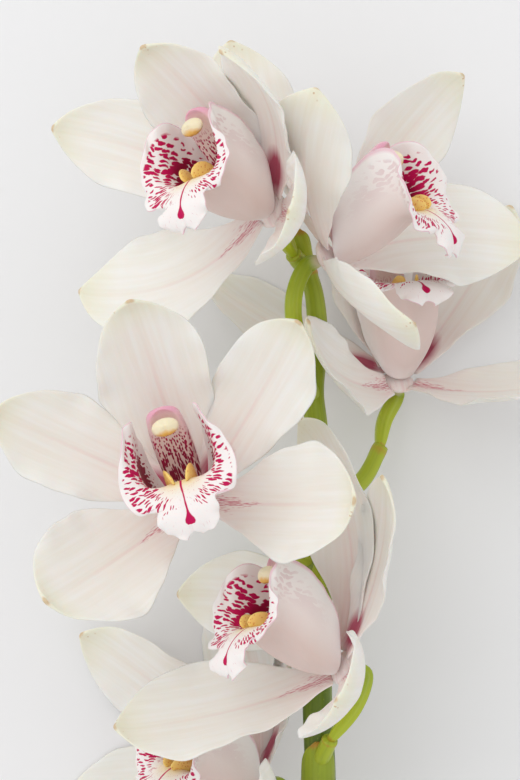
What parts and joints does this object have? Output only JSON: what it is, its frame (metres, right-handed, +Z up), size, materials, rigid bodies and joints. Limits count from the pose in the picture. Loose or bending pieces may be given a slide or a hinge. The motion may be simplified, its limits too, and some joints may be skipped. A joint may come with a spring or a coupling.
{
  "type": "cut cymbidium orchid stem",
  "caption": "Cut cymbidium orchid stem with open white blooms, red-spotted lips and yellow keels near the tip of a long bare green stalk, lying on its side.",
  "frame": {"origin": "centre of the bounding box at the level of the table that the stem lies on", "axes": "+Y from the cut end of the stalk towards the tip with the blooms, +Z up from the table, +X to the right seen from above with the tip away"},
  "size_m": [0.164, 0.4802, 0.1092],
  "materials": {
    "stem": "smooth waxy green plant stem, no wood grain",
    "tepals": "satin, waxy white petal with a faint pink middle vein",
    "lip": "satin white petal, crimson spots inside and dusky pink outside",
    "column": "satin pink and white, fine crimson dots underneath",
    "anther_cap": "matte pale yellow",
    "ovary": "smooth waxy yellow green plant stem, no wood grain"
  },
  "bodies": {
    "root": {"stem": "stem", "bloom_1_tepals": "tepals", "bloom_1_lip": "lip", "bloom_1_column": "column", "bloom_1_anther_cap": "anther_cap", "bloom_1_ovary": "ovary", "bloom_2_tepals": "tepals", "bloom_2_lip": "lip", "bloom_2_column": "column", "bloom_2_anther_cap": "anther_cap", "bloom_2_ovary": "ovary", "bloom_3_tepals": "tepals", "bloom_3_lip": "lip", "bloom_3_column": "column", "bloom_3_anther_cap": "anther_cap", "bloom_3_ovary": "ovary", "bloom_4_tepals": "tepals", "bloom_4_lip": "lip", "bloom_4_column": "column", "bloom_4_anther_cap": "anther_cap", "bloom_4_ovary": "ovary", "bloom_5_tepals": "tepals", "bloom_5_lip": "lip", "bloom_5_column": "column", "bloom_5_anther_cap": "anther_cap", "bloom_5_ovary": "ovary", "bloom_6_tepals": "tepals", "bloom_6_lip": "lip", "bloom_6_column": "column", "bloom_6_anther_cap": "anther_cap", "bloom_6_ovary": "ovary"}
  },
  "joints": []
}
